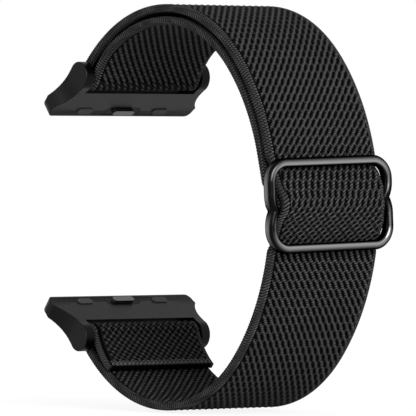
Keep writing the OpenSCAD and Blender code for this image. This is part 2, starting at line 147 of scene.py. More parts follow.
# %% [markdown]
# ## Camera, floor and light
#
# The band was photographed almost level, from 37 degrees to one side of its buckle, with a
# long lens on a white ground. The floor and the world look white to the camera and in
# reflections, while the light that reaches the cloth stays at a plain level.


# %% Camera
def look_back(azimuth, elevation):
    """Unit vector from the object to a camera at that azimuth and elevation."""
    a, e = math.radians(azimuth), math.radians(elevation)
    return Vector((math.sin(a) * math.cos(e), -math.cos(a) * math.cos(e), math.sin(e)))


AZIMUTH, ELEVATION = -37.0, 0.5
IMAGE_PIXELS, SENSOR = 416, 36.0
PIXELS_PER_MM = 5.615
ORIGIN_PIXEL = (214.5, 207.0)
DISTANCE = 1000.0

back = look_back(AZIMUTH, ELEVATION)
turn = (-back).to_track_quat("-Z", "Y")
right, up = turn @ Vector((1, 0, 0)), turn @ Vector((0, 1, 0))
aside = (IMAGE_PIXELS / 2 - ORIGIN_PIXEL[0]) / PIXELS_PER_MM
above = (ORIGIN_PIXEL[1] - IMAGE_PIXELS / 2) / PIXELS_PER_MM
camera = bpy.data.objects.new("camera", bpy.data.cameras.new("camera"))
bpy.context.scene.collection.objects.link(camera)
camera.data.sensor_width = SENSOR
camera.data.lens = PIXELS_PER_MM * DISTANCE * SENSOR / IMAGE_PIXELS
camera.data.clip_start, camera.data.clip_end = 0.05, 20
camera.rotation_mode = "QUATERNION"
camera.rotation_quaternion = turn
camera.location = (right * aside + up * above + back * DISTANCE) * MM
bpy.context.scene.camera = camera
bpy.context.scene.view_settings.view_transform = "Standard"
print(f"lens {camera.data.lens:.0f} mm at", [round(v, 3) for v in camera.location])


# %% World and floor
def material(name):
    """A new material and its node tree, with the default shader cleared."""
    made = bpy.data.materials.new(name)
    made.use_nodes = True
    made.node_tree.nodes.clear()
    return made, made.node_tree


def node(tree, kind, **values):
    """Adds a node and sets its inputs or properties by name."""
    made = tree.nodes.new(kind)
    for key, value in values.items():
        if key in made.inputs:
            made.inputs[key].default_value = value
        else:
            setattr(made, key, value)
    return made


def to_camera(tree):
    """A socket that is 1 for camera, glossy and transmission rays and 0 for diffuse ones."""
    path = tree.nodes.new("ShaderNodeLightPath")
    first = node(tree, "ShaderNodeMath", operation="MAXIMUM")
    tree.links.new(path.outputs["Is Camera Ray"], first.inputs[0])
    tree.links.new(path.outputs["Is Glossy Ray"], first.inputs[1])
    both = node(tree, "ShaderNodeMath", operation="MAXIMUM")
    tree.links.new(first.outputs[0], both.inputs[0])
    tree.links.new(path.outputs["Is Transmission Ray"], both.inputs[1])
    return both.outputs[0]


world = bpy.data.worlds.new("world")
bpy.context.scene.world = world
world.use_nodes = True
tree = world.node_tree
tree.nodes.clear()
seen = node(tree, "ShaderNodeBackground", Strength=1.0, Color=(1, 1, 1, 1))
ambient = node(tree, "ShaderNodeBackground", Strength=0.55, Color=(1, 1, 1, 1))
mix = node(tree, "ShaderNodeMixShader")
tree.links.new(to_camera(tree), mix.inputs[0])
tree.links.new(ambient.outputs[0], mix.inputs[1])
tree.links.new(seen.outputs[0], mix.inputs[2])
tree.links.new(mix.outputs[0], tree.nodes.new("ShaderNodeOutputWorld").inputs["Surface"])

# Near the band a seventh of the floor is lit paint, which holds the shadow. Further off the
# floor is plain white, so that no horizon shows. The floor lies a little below the band.
NEAR, FAR = 60 * MM, 140 * MM
NEAR_WHITE = 0.85
FLOOR_GAP = 0.0004
floor_stuff, tree = material("pale_floor")
glow = node(tree, "ShaderNodeEmission", Strength=1.04, Color=(1, 1, 1, 1))
paint = node(tree, "ShaderNodeBsdfDiffuse", Color=(0.9, 0.9, 0.9, 1))
where = tree.nodes.new("ShaderNodeTexCoord")
reach = node(tree, "ShaderNodeVectorMath", operation="LENGTH")
tree.links.new(where.outputs["Object"], reach.inputs[0])
share = tree.nodes.new("ShaderNodeMapRange")
for socket, value in {"From Min": NEAR, "From Max": FAR, "To Min": NEAR_WHITE}.items():
    share.inputs[socket].default_value = value
tree.links.new(reach.outputs["Value"], share.inputs["Value"])
seen_share = node(tree, "ShaderNodeMath", operation="MULTIPLY")
tree.links.new(to_camera(tree), seen_share.inputs[0])
tree.links.new(share.outputs[0], seen_share.inputs[1])
mix = tree.nodes.new("ShaderNodeMixShader")
tree.links.new(seen_share.outputs[0], mix.inputs[0])
tree.links.new(paint.outputs[0], mix.inputs[1])
tree.links.new(glow.outputs[0], mix.inputs[2])
tree.links.new(mix.outputs[0], tree.nodes.new("ShaderNodeOutputMaterial").inputs["Surface"])

bm = bmesh.new()
bmesh.ops.create_grid(bm, x_segments=1, y_segments=1, size=3.0)
bmesh.ops.translate(bm, verts=bm.verts, vec=(0, 0, cad_box[0][2] - FLOOR_GAP))
floor = bpy.data.objects.new("floor", bpy.data.meshes.new("floor"))
bm.to_mesh(floor.data)
bm.free()
floor.data.materials.append(floor_stuff)
bpy.context.scene.collection.objects.link(floor)
print(f"floor at {(cad_box[0][2] - FLOOR_GAP) / MM:.1f} mm, plain white beyond {FAR / MM:.0f} mm")


# %% Lamps
LAMP_DISTANCE, LAMP_SIZE = 0.9, 0.5


def lamp(name, direction, watts):
    """A square soft light that faces the band from a direction."""
    data = bpy.data.lights.new(name, "AREA")
    data.shape = "SQUARE"
    data.size = LAMP_SIZE
    data.energy = watts
    made = bpy.data.objects.new(name, data)
    made.location = Vector(direction).normalized() * LAMP_DISTANCE
    made.rotation_mode = "QUATERNION"
    made.rotation_quaternion = Vector(direction).to_track_quat("Z", "Y")
    bpy.context.scene.collection.objects.link(made)
    print(f"{name}: {watts} W at", [round(v, 2) for v in made.location])


# Both stand above the floor, which would block them
lamp("key_light", back + right * 0.5 + up * 0.4, 8.5)
lamp("fill_light", back - right * 1.2 + up * 0.45, 3.5)

# %% [markdown]
# ## A grid laid along a route
#
# Webbing, cords of thread and the bars of the buckle are all one kind of shape: a section that
# is carried along a route. One helper makes them. It takes the flat grid that bmesh makes and
# lays its columns round the section and its rows along the route. Then it welds the seam and
# fills the two ends. Other helpers sample a route from arcs and straights.


# %% Routes
# Samples stand STEP apart. Two that lie closer than SAME count as one.
STEP, SAME = 0.04, 1e-6


def arc(centre, radius, a0, a1, face=1):
    """Samples on an arc: two coordinates in its plane and the direction of the outer face."""
    count = max(int(abs(math.radians(a1 - a0)) * radius / STEP), 4)
    a = np.radians(np.linspace(a0, a1, count + 1))
    c, s = np.cos(a), np.sin(a)
    return np.stack([centre[0] + radius * c, centre[1] + radius * s, face * c, face * s], 1)


def line(start, end, face):
    """Samples on a straight from start to end, with one direction of the outer face."""
    count = max(int(math.dist(start, end) / STEP), 2)
    t = np.linspace(0, 1, count + 1)[:, None]
    places = np.array(start) * (1 - t) + np.array(end) * t
    return np.concatenate([places, np.tile(face, (count + 1, 1))], 1)


def route(*parts, lower=False):
    """Joins samples to one route and adds the length from its start as a first column."""
    rows = np.concatenate(parts)
    steps = np.linalg.norm(np.diff(rows[:, :2], axis=0), axis=1)
    rows = rows[np.concatenate([[True], steps > SAME])]
    if lower:
        rows[:, [1, 3]] *= -1
    steps = np.linalg.norm(np.diff(rows[:, :2], axis=0), axis=1)
    return np.column_stack([np.concatenate([[0], np.cumsum(steps)]), rows])


def set_up(rows):
    """Turns samples drawn about level up along the flat side, to where the buckle is set."""
    c, s = math.cos(math.radians(SET)), math.sin(math.radians(SET))
    y, z = rows[:, 0] - SIDE_Y, rows[:, 1]
    ny, nz = rows[:, 2], rows[:, 3]
    turned = [SIDE_Y + c * y + s * z, c * z - s * y, c * ny + s * nz, c * nz - s * ny]
    return np.stack(turned, 1)


def along(way, s):
    """The two coordinates and the face direction at lengths s on a route."""
    return [np.interp(s, way[:, 0], way[:, i]) for i in range(1, 5)]


# %% Grids
WELD = 1e-7


def mapped_grid(bm, columns, rows, place, size, cap=True):
    """Adds a grid to bm that place(u, v) lays out, welded and with its ends filled.

    place takes arrays of u, round the section, and v, along the route, both 0 to 1. It returns
    x, y and z in millimetres and a tone, which the materials turn into painted shade and
    highlight:
    from 0 in a hollow to 1 on a bright thread. size is the girth and the length that the cloth map
    spans.
    """
    part = bmesh.new()
    bmesh.ops.create_grid(part, x_segments=columns, y_segments=rows, size=1.0)
    grid = bpy.data.meshes.new("grid")
    part.to_mesh(grid)
    part.free()
    flat = np.empty(len(grid.vertices) * 3)
    grid.vertices.foreach_get("co", flat)
    flat = flat.reshape(-1, 3)[:, :2]
    flat = (flat - flat.min(0)) / (flat.max(0) - flat.min(0))
    x, y, z, tone = place(flat[:, 0], flat[:, 1])
    grid.vertices.foreach_set("co", (np.stack([x, y, z], 1) * MM).ravel())
    grid.attributes.new("tone", "FLOAT", "POINT").data.foreach_set("value", tone)
    corner = np.empty(len(grid.loops), dtype=np.int32)
    grid.loops.foreach_get("vertex_index", corner)
    spread = flat * np.array(size) * MM
    grid.uv_layers.new(name="cloth").data.foreach_set("uv", spread[corner].ravel())

    part = bmesh.new()
    part.from_mesh(grid)
    bmesh.ops.remove_doubles(part, verts=part.verts, dist=WELD)
    if cap:
        bmesh.ops.holes_fill(part, edges=[e for e in part.edges if e.is_boundary], sides=0)
        bmesh.ops.recalc_face_normals(part, faces=part.faces)
    part.to_mesh(grid)
    part.free()
    bm.from_mesh(grid)
    bpy.data.meshes.remove(grid)


def finish_piece(name, bm, stuff):
    """Turns bm into a named, smoothly shaded object at the origin with its material."""
    made = bpy.data.objects.new(name, bpy.data.meshes.new(name))
    bm.to_mesh(made.data)
    bm.free()
    made.data.materials.append(stuff)
    made.data.polygons.foreach_set("use_smooth", np.ones(len(made.data.polygons), dtype=bool))
    bpy.context.scene.collection.objects.link(made)
    print(f"{name}: {len(made.data.polygons)} faces")
    return made


# %% [markdown]
# ## Cloth material
#
# The yarn is charcoal. The ribs catch the light and look mid grey, the cells are painted nearly
# black as shade in the hollows, and the thread that binds the edges is the palest. The mesh
# carries a tone as an attribute, and the colour follows it. A fine slanted wave on the cloth map
# stands for single yarns, about half a millimetre apart, and two noises for uneven dye and for
# fibres.
#
# A picture of cloth could be wrapped round the strip, but a procedural pattern keeps its
# sharpness from near and needs no file. Noise in the object's own coordinates, a bump and the
# output are wanted in every material, so they are helpers.


# %% Parts that every material has
def noise(tree, scale, detail):
    """Noise that is fixed to the object."""
    place = tree.nodes.new("ShaderNodeTexCoord")
    made = node(tree, "ShaderNodeTexNoise", Scale=scale, Detail=detail)
    tree.links.new(place.outputs["Object"], made.inputs["Vector"])
    return made


def spread_out(tree, socket, low, high):
    """A value from 0 to 1, spread out to run from low to high."""
    made = tree.nodes.new("ShaderNodeMapRange")
    made.inputs["To Min"].default_value = low
    made.inputs["To Max"].default_value = high
    tree.links.new(socket, made.inputs["Value"])
    return made.outputs[0]


def bump_and_output(tree, shader, height, strength, depth):
    """Raises the shader by a noise and links it to the output."""
    bump = node(tree, "ShaderNodeBump", Strength=strength, Distance=depth)
    tree.links.new(height.outputs["Fac"], bump.inputs["Height"])
    tree.links.new(bump.outputs[0], shader.inputs["Normal"])
    out = tree.nodes.new("ShaderNodeOutputMaterial")
    tree.links.new(shader.outputs[0], out.inputs["Surface"])


# %% Cloth
# How dark and how bright the single yarns and the uneven dye make the cloth
YARN_SHADES, DYE_SHADES = (0.25, 1.75), (0.55, 1.4)
# Less across the strip than along it, so that the yarns lean
YARN_SLANT = (0.4, 1, 1)


def yarn_material(name, tones, wave_scale, bump_strength):
    """Matt yarn whose colour follows the tone attribute through the given ramp stops."""
    made, tree = material(name)
    shader = node(tree, "ShaderNodeBsdfPrincipled", Roughness=0.85)
    shader.inputs["Specular IOR Level"].default_value = 0.02
    tone = node(tree, "ShaderNodeAttribute", attribute_name="tone")
    ramp = tree.nodes.new("ShaderNodeValToRGB")
    while len(ramp.color_ramp.elements) < len(tones):
        ramp.color_ramp.elements.new(0.5)
    for stop, (position, grey) in zip(ramp.color_ramp.elements, tones):
        stop.position = position
        stop.color = (grey, grey, grey * 1.03, 1)
    tree.links.new(tone.outputs["Fac"], ramp.inputs[0])

    flat = node(tree, "ShaderNodeUVMap", uv_map="cloth")
    yarns = node(tree, "ShaderNodeTexWave", wave_type="BANDS", bands_direction="DIAGONAL")
    yarns.inputs["Scale"].default_value = wave_scale
    yarns.inputs["Distortion"].default_value = 1.0
    yarns.inputs["Detail"].default_value = 1.0
    slanted = node(tree, "ShaderNodeVectorMath", operation="MULTIPLY")
    slanted.inputs[1].default_value = YARN_SLANT
    tree.links.new(flat.outputs["UV"], slanted.inputs[0])
    tree.links.new(slanted.outputs[0], yarns.inputs["Vector"])
    dye = noise(tree, 900.0, 3.0)
    colour = ramp.outputs[0]
    for source, (low, high) in ((yarns, YARN_SHADES), (dye, DYE_SHADES)):
        vary = node(tree, "ShaderNodeMix", data_type="RGBA", blend_type="MULTIPLY")
        vary.inputs[0].default_value = 1.0
        tree.links.new(colour, vary.inputs[6])
        tree.links.new(spread_out(tree, source.outputs["Fac"], low, high), vary.inputs[7])
        colour = vary.outputs[2]
    tree.links.new(colour, shader.inputs["Base Color"])

    bump_and_output(tree, shader, noise(tree, 9000.0, 2.0), bump_strength, 0.00005)
    print(name, "has", len(tree.nodes), "nodes")
    return made


# Painted shade: tone 0 in the hollows is nearly black, 0.8 on the ribs mid grey, 1 the palest
CLOTH_TONES = [(0.0, 0.0012), (0.25, 0.006), (0.8, 0.053), (1.0, 0.11)]
cloth = yarn_material("charcoal_stretch_webbing", CLOTH_TONES, 1200.0, 0.35)
sewing_thread = yarn_material("charcoal_thread", [(0.0, 0.02), (1.0, 0.1)], 900.0, 0.2)

# %% [markdown]
# ## The weave
#
# The outer face of the webbing is a warp knit. Its wales run along the strip, 1.34 mm apart, and
# its rows lie level, about 1.6 mm apart. In every row each thread steps over to the next wale,
# so that the threads make long slanted ribs with dark cells between them. The wales show as
# short paler bars that close the cells. Under the lower bar of the buckle the threads step the
# other way, and inside the buckle the cloth is pulled, which changes both slopes. On the side
# that faces the wrist the ribs lean one way over the whole strip. One edge of the strip is a
# thick roll, bound by fine thread, with bright ticks where the wraps end on the face. The other
# edge is a narrow plain one.
#
# A bump map could draw this, but the ribs are a quarter of a millimetre high and show in the
# outline, so they are real relief in the mesh.


# %% Relief of the cloth
def bell(value):
    """1 below 0, 0 above 1, smooth between."""
    t = np.clip(1 - value, 0, 1)
    return t * t * (3 - 2 * t)


WALE = 1.34
# Length from the middle of the buckle, then how many wales a rib and a wale line move over in
# one millimetre of that length.
SLOPES = np.array([
    (-80, -0.55, 0.0), (-38, -0.56, 0.0), (-22, -0.60, 0.0),
    (-10.5, -0.64, -0.03), (-8.3, -0.1, -0.5), (-7, 0.6, -0.78),
    (-4, 0.73, -0.81), (-1, 0.6, -0.6), (1, 0.36, -0.25),
    (5, 0.31, -0.2), (8, 0.6, -0.05), (12, 0.69, 0.06),
    (20, 0.64, 0.02), (28, 0.60, -0.03), (150, 0.56, 0.0),
])
SLOPE_STEP = 0.1
ALONG = np.arange(SLOPES[0, 0], SLOPES[-1, 0], SLOPE_STEP)
RIB_SHIFT = np.cumsum(np.interp(ALONG, SLOPES[:, 0], SLOPES[:, 1])) * SLOPE_STEP
WALE_SHIFT = np.cumsum(np.interp(ALONG, SLOPES[:, 0], SLOPES[:, 2])) * SLOPE_STEP
# Half the width of a line and the width of its fade, in wales, for each pattern
RIB_LINE, WALE_LINE = (0.09, 0.27), (0.05, 0.2)
WRIST_RIB_LINE, WRIST_WALE_LINE = (0.13, 0.27), (0.04, 0.22)
DOT_LINE = (0.08, 0.3)
# Length of a bead on a rib, on the outer face and on the side towards the wrist
BEAD, WRIST_BEAD = 0.8, 0.9
# How far a wale strays, in wales
STRAY = 0.04
# Spacing of the dots of the flap across and along the strip, and their tone
DOT_W, DOT_H, DOT_TONE = 1.4, 1.33, 0.43
print(f"{len(SLOPES)} slopes, {BAND_W / WALE:.1f} wales across the strip")


def lines(phase, half, fade):
    """1 on whole numbers of a phase, 0 between them."""
    return bell((np.abs(phase - np.rint(phase)) - half) / fade)


def outer_face(x, t):
    """The knit on the outer face, where t is the length from the middle of the buckle."""
    rib = x / WALE - np.interp(t, ALONG, RIB_SHIFT)
    wale = x / WALE - np.interp(t, ALONG, WALE_SHIFT)
    wale = wale + STRAY * np.sin(np.rint(rib) * 12.99 + np.rint(wale - rib) * 7.3)
    bar = 0.62 + 0.18 * bell(np.abs(t + 4) / 5)
    step = np.sin(2 * math.pi * (wale - rib))
    rib, wale = rib + 0.05 * step, wale - 0.13 * step
    bead = 0.87 + 0.13 * np.cos(2 * math.pi * (t / BEAD + 0.5 * np.rint(rib)))
    return np.maximum(bead * lines(rib, *RIB_LINE), bar * lines(wale, *WALE_LINE))


def wrist_face(x, t):
    """The knit on the side towards the wrist, where the slope depends on the half of the strip."""
    rib = x / WALE + np.where(t < 0, 0.73, 0.56) * t
    wale = x / WALE + STRAY * np.sin(np.rint(rib) * 12.99)
    bead = 0.8 + 0.2 * np.cos(2 * math.pi * (t / WRIST_BEAD + 0.4 * np.rint(rib)))
    return bead * np.maximum(lines(rib, *WRIST_RIB_LINE), 0.45 * lines(wale, *WRIST_WALE_LINE))


def basket_face(x, t):
    """The flap: the strip is pressed flat, and both slopes show as a basket of small dots."""
    one = lines(x / DOT_W - t / DOT_H, *DOT_LINE)
    other = lines(x / DOT_W + t / DOT_H, *DOT_LINE)
    return DOT_TONE * (one + other)


# %% [markdown]
# ## One stretch of webbing
#
# A stretch is three closed shells in one piece: the net in the middle and a wrapped roll on
# each edge. The net is a flat tube whose two sides carry their own pattern. Its columns are
# closer on a side that shows. The rolls are round cords with a squarish section.
#
# One shell could take in the rolls as well, but its columns would have to be as fine all round
# as the wraps of the roll are. Shells that lap over one another keep the mesh light.

# %% Sizes of the net and the rolls
# Height of a rib and its tone, and the length of strip that one wrap of the thread takes
RIB_H, RIB_TONE, WRAP = 0.24, 0.8, 0.56
ROLL_W, PLAIN_W = 1.3, 0.8
# The net runs this far in under each roll
UNDER_ROLL, UNDER_PLAIN = 0.3, 0.25
NET_LOW, NET_HIGH = -(BAND_W / 2 - ROLL_W + UNDER_ROLL), BAND_W / 2 - PLAIN_W + UNDER_PLAIN
# The groove beside the wrapped roll: its width and that of its slope
GROOVE, GROOVE_SLOPE = 0.35, 0.3
# Roll: columns round it, how far it lies in, how high the wraps and the ticks stand on it
ROLL_AROUND, SQUARISH = 22, 0.6
ROLL_IN, WRAP_H, TICK_H = 0.12, 0.07, 0.05
# Distance between rows, and between columns on a side that shows well, less well, or hardly
NET_ROW, WRAPPED_ROW, PLAIN_ROW = 0.18, 0.1, 0.3
FINEST, FINE, MIDDLING, COARSE = 0.15, 0.17, 0.2, 0.5
print(f"net from {NET_LOW:.2f} to {NET_HIGH:.2f} mm across the strip")


# %% Net and edge rolls
def add_net(bm, way, length_at, half_at, thick, spacing, faces):
    """The net: a flat tube with a face pattern on each side and a groove beside the roll."""
    total = way[-1, 0]
    wide = NET_HIGH - NET_LOW
    n_out, n_in = (round(wide / gap) for gap in spacing)
    columns = n_out + n_in + 2
    outside, inside = faces

    def place(u, v):
        k = np.rint(u * columns).astype(int) % columns
        on_outer = k <= n_out
        x = NET_LOW + wide * np.where(on_outer, k / n_out, 1 - (k - n_out - 1) / n_in)
        t = length_at(v * total)
        y, z, ny, nz = along(way, v * total)
        # The tone follows the relief, so the hollows and the groove beside the roll get painted
        # shade
        relief = np.where(on_outer, outside(x, t), inside(x, t))
        relief = relief * (1 - bell((x - NET_LOW - GROOVE) / GROOVE_SLOPE))
        off = np.where(on_outer, 1, -1) * (thick / 2 - RIB_H * (1 - relief) * thick / BAND_T)
        x = x * half_at(t) / (BAND_W / 2)
        return x, y + ny * off, z + nz * off, RIB_TONE * relief

    mapped_grid(bm, columns, max(round(total / NET_ROW), 2), place, (2 * wide, total))


def add_roll(bm, way, length_at, half_at, thick, side, plain):
    """A roll along one edge: wrapped, with bright ticks next to the net, or narrow and plain."""
    total = way[-1, 0]
    wide = PLAIN_W if plain else ROLL_W
    rows = max(round(total / (PLAIN_ROW if plain else WRAPPED_ROW)), 2)

    def place(u, v):
        a = (np.rint(u * ROLL_AROUND) % ROLL_AROUND) / ROLL_AROUND * 2 * math.pi
        t = length_at(v * total)
        y, z, ny, nz = along(way, v * total)
        across = np.sign(np.cos(a)) * np.abs(np.cos(a)) ** SQUARISH
        deep = np.sign(np.sin(a)) * np.abs(np.sin(a)) ** SQUARISH
        slant = 0.5 * across * np.sign(deep + 1e-9)
        if plain:
            wrap, tick = np.full_like(t, 0.7), 0
        else:
            wrap = 0.5 + 0.5 * np.cos(2 * math.pi * (t / WRAP + slant))
            tick = bell((across + 0.5) / 0.5) * wrap
        px = half_at(t) - wide / 2 + (wide / 2 - WRAP_H + WRAP_H * wrap) * across
        off = (thick / 2 - ROLL_IN + WRAP_H * wrap + TICK_H * tick) * deep
        # The tone follows the wraps: painted shade between them, palest on the ticks
        return side * px, y + ny * off, z + nz * off, 0.25 + 0.35 * wrap + 0.4 * tick

    mapped_grid(bm, ROLL_AROUND, rows, place, (2 * wide + 2 * thick, total))


def relaxed(t):
    """Width of the webbing where nothing squeezes it."""
    return BAND_W + 0 * t


def webbing(
    name,
    way,
    length_at,
    spacing,
    width=relaxed,
    thick=BAND_T,
    faces=(outer_face, wrist_face),
    plain=False,
):
    """One stretch of webbing along a route.

    length_at turns the length on the route into the length from the middle of the buckle, and
    width gives the width at that length. spacing and faces hold a value for each side. plain
    leaves both edges unwrapped.
    """

    def half_at(t):
        return width(t) / 2

    bm = bmesh.new()
    add_net(bm, way, length_at, half_at, thick, spacing, faces)
    for side in (-1, 1):
        add_roll(bm, way, length_at, half_at, thick, side, plain or side == 1)
    return finish_piece(name, bm, cloth)


# %% [markdown]
# ## The outer layer
#
# The strip runs from the upper loop bar down the outside, through the buckle, to the lower loop
# bar. It is cut where the plain solids are cut, so that each stretch can move with its own part
# of the loop. The pattern is worked out from the length along the whole strip, so it carries on
# across each cut. A list holds each half of the strip in the order in which the yarn runs.

# %% Stretches of the strip
half_crossing = [
    arc(SIDE, SIDE_R, CROSSING, 180 - TOUCH),
    arc((FRAME_Y, BAR_HALF), FRAME_R, -TOUCH, -CROSS_SLOPE, face=-1),
    arc((MIDDLE_Y, 0), CREST_R, 180 - CROSS_SLOPE, 180),
]
CROSS_LEN = route(*half_crossing)[-1, 0]
mirrored = [part[::-1] * np.array([1, -1, 1, -1]) for part in half_crossing[::-1]]
crossing_way = route(*[set_up(part) for part in half_crossing + mirrored])

# How much the rails take from the width of the webbing at the middle bar, and the rounded
# corners of the frame at the outer bars, which it passes CORNER_AT from the middle
MIDDLE_SQUEEZE, CORNER_SQUEEZE, CORNER_AT = 1.3, 1.1, 7.3
print(f"the webbing crosses the buckle on {2 * CROSS_LEN:.1f} mm of its length")


def drawn_in(t):
    """Width of the webbing in and beside the buckle."""
    at_middle = bell((np.abs(t) - 0.8) / 2.6)
    at_corner = bell(np.abs(np.abs(t) - CORNER_AT) / 1.8)
    return BAND_W - MIDDLE_SQUEEZE * at_middle - CORNER_SQUEEZE * at_corner


def half_strip(lower):
    """Names and routes of the outer stretches of one half, from the buckle to the loop bar."""
    word, beside = ("lower", "below") if lower else ("upper", "above")
    start = CROSSING + SET if lower else CROSSING - SET
    return [
        (f"webbing_{beside}_buckle", arc(SIDE, SIDE_R, start, RUN_END)),
        (f"webbing_{word}_run", arc(SHOULDER, OUTER_R - SHOULDER_IN, RUN_END, BEND_END)),
        (f"webbing_{word}_bend", arc(TOP, OUTER_R, BEND_END, BEND_START)),
        (f"webbing_{word}_end", arc(TOP, OUTER_R, BEND_START, BAR_ANGLE)),
    ]


def counted(start, sign):
    """Length from the middle of the buckle, for a stretch that starts at a given length."""
    return lambda s: sign * (start + s)


# %% Outer layer
# Pieces by the name of the solid that they replace, and lengths: of each stretch, and reached
# at the end of each half
pieces, lengths, reached = {}, {}, {}
for lower in (False, True):
    sign = -1 if lower else 1
    # Over the upper half the return layer hides the side towards the wrist
    spacing = (FINE, MIDDLING) if lower else (FINE, COARSE)
    at = CROSS_LEN
    for name, samples in half_strip(lower):
        way = route(samples, lower=lower)
        pieces[name] = webbing(f"{name}_cloth", way, counted(at, sign), spacing, drawn_in)
        lengths[name] = way[-1, 0]
        at += way[-1, 0]
    reached[lower] = at
pieces["webbing_crossing"] = webbing(
    "webbing_crossing_cloth", crossing_way, lambda s: CROSS_LEN - s, (FINE, COARSE), drawn_in
)
lengths["webbing_crossing"] = crossing_way[-1, 0]

# %% [markdown]
# ## Turns, return layer and flap
#
# At each connector the strip turns round the loop bar. At the top it comes back as a second
# layer under the first, down to the middle bar of the buckle, where its end is sewn. At the
# bottom it ends after a few millimetres in a flap with a stitched hem. These inner stretches
# show to the wrist, so here the side towards the wrist has the fine columns.


# %% Turns and return layer
def closing(radius):
    """Start angle, end angle and centre of the arc that closes the gap after the turn."""
    far, near = radius - CLOSING_R, CLOSING_R + TURN_R
    swing = math.acos((far**2 + BAR_REACH**2 - near**2) / (2 * far * BAR_REACH))
    bend = math.acos((near**2 + BAR_REACH**2 - far**2) / (2 * near * BAR_REACH))
    swing, bend = math.degrees(swing), math.degrees(bend)
    return BAR_ANGLE - bend, BAR_ANGLE + swing, ray(BAR_ANGLE + swing, far, TOP)


return_start, return_swing, return_centre = closing(RETURN_R)
flap_start, _, flap_centre = closing(FLAP_R)
HEM_START = FLAP_END - math.degrees(HEM_W / CLOSING_R)
slope = math.radians(LEG_SLOPE)
foot = (MIDDLE_Y + SEWN_R * math.cos(slope), -SEWN_R * math.sin(slope))
leg_way = np.array([math.sin(slope), math.cos(slope)])
leg_face = (-math.cos(slope), math.sin(slope))
near_leg = line(foot + leg_way * RETURN_STRAIGHT, foot + leg_way * SEWN_LEG, leg_face)


def shaded_face(x, t):
    """The pattern towards the wrist, lower and darker by painted shade, for the side that lies in
    the gap.
    """
    return 0.8 * wrist_face(x, t)


turned_faces = (shaded_face, wrist_face)
inner_stretches = [
    ("webbing_upper_turn", arc(LOOP_BAR, TURN_R, BAR_ANGLE, return_start - 180)),
    ("return_upper_closing", arc(return_centre, CLOSING_R, return_start, return_swing)),
    ("return_upper_end", arc(TOP, RETURN_R, return_swing, BEND_START)),
    ("return_bend", arc(TOP, RETURN_R, BEND_START, BEND_END)),
    ("return_run", arc(SHOULDER, RETURN_R - SHOULDER_IN, BEND_END, RUN_END)),
    ("return_above_buckle", arc(SIDE, RETURN_SIDE_R, RUN_END, 180 - LEG_SLOPE - SET)),
    ("return_near_buckle", set_up(near_leg)),
]
at = reached[False]
for name, samples in inner_stretches:
    way = route(samples)
    spacing = (MIDDLING, COARSE) if name == "webbing_upper_turn" else (COARSE, MIDDLING)
    pieces[name] = webbing(f"{name}_cloth", way, counted(at, 1), spacing, faces=turned_faces)
    lengths[name] = way[-1, 0]
    at += way[-1, 0]

# %% [markdown]
# ### The sewn end
#
# The end of the strip goes round the middle bar of the buckle and is sewn to itself. It is
# pressed thin there. The crossing lies over it, and it shows only from inside the loop, so its
# columns are coarse.

# %% Sewn end
cross = math.radians(CROSS_SLOPE)
wrap_top = ray(180 - CROSS_SLOPE, SEWN_R, (MIDDLE_Y, 0))
inner_leg_end = (
    wrap_top[0] + SEWN_LEG * math.sin(cross),
    wrap_top[1] + SEWN_LEG * math.cos(cross),
)
sewn_samples = [
    line(foot + leg_way * SEWN_LEG, foot, (-leg_face[0], -leg_face[1])),
    arc((MIDDLE_Y, 0), SEWN_R, -LEG_SLOPE, -180 - CROSS_SLOPE),
    line(wrap_top, inner_leg_end, (-math.cos(cross), math.sin(cross))),
]
way = route(*[set_up(part) for part in sewn_samples])
pieces["return_sewn_end"] = webbing(
    "return_sewn_end_cloth",
    way,
    counted(at, 1),
    spacing=(0.3, 0.6),
    width=lambda t: BAND_W - MIDDLE_SQUEEZE * (1 - bell((t - at) / SEWN_LEG)),
    thick=SEWN_T,
    faces=turned_faces,
)
lengths["return_sewn_end"] = way[-1, 0]

# %% [markdown]
# ### The fold-back flap
#
# At the lower connector the strip only turns back for a few millimetres. The flap is pressed
# flat, its weave reads as small dots, and a smooth hem strip closes its end.


# %% Flap and hem
def hem_face(_, t):
    """Plain tape with a sunk line of painted shade along each side, the same over its whole width.
    """
    start = reached[True] + lengths["webbing_lower_turn"] + lengths["fold_back_flap"]
    return bell((np.abs(t + start + HEM_W / 2) - 0.35 * HEM_W) / 0.2)


flap_arc = arc(flap_centre, CLOSING_R, flap_start, HEM_START)
hem_arc = arc(flap_centre, CLOSING_R, HEM_START, FLAP_END)
turn_arc = arc(LOOP_BAR, TURN_R, BAR_ANGLE, flap_start - 180)
flap_stretches = [
    ("webbing_lower_turn", turn_arc, BAND_T, basket_face, (MIDDLING, COARSE)),
    ("fold_back_flap", flap_arc, FLAP_T, basket_face, (COARSE, FINEST)),
    ("flap_hem", hem_arc, FLAP_T, hem_face, (COARSE, FINEST)),
]
at = reached[True]
for name, samples, thick, face, spacing in flap_stretches:
    way = route(samples, lower=True)
    lengths[name] = way[-1, 0]
    pieces[name] = webbing(
        f"{name}_cloth", way, counted(at, -1), spacing, relaxed, thick, (face, face), True
    )
    at += way[-1, 0]
print("length of the strip:", round(sum(lengths.values()), 1), "mm")

# %% [markdown]
# ### Stitches
#
# Each visible stitch is a short thread that rises out of the cloth, lies on it and dips back
# in. Twenty-five of them hold the hem, and as many hold the sewn end, on its side towards the
# wrist. A thread drawn on the cloth would look flat there, so each one is a small bowed cord.


# %% Stitches
STITCH_AROUND, STITCH_LIFT, STITCH_GAP = 8, 0.3, 0.01


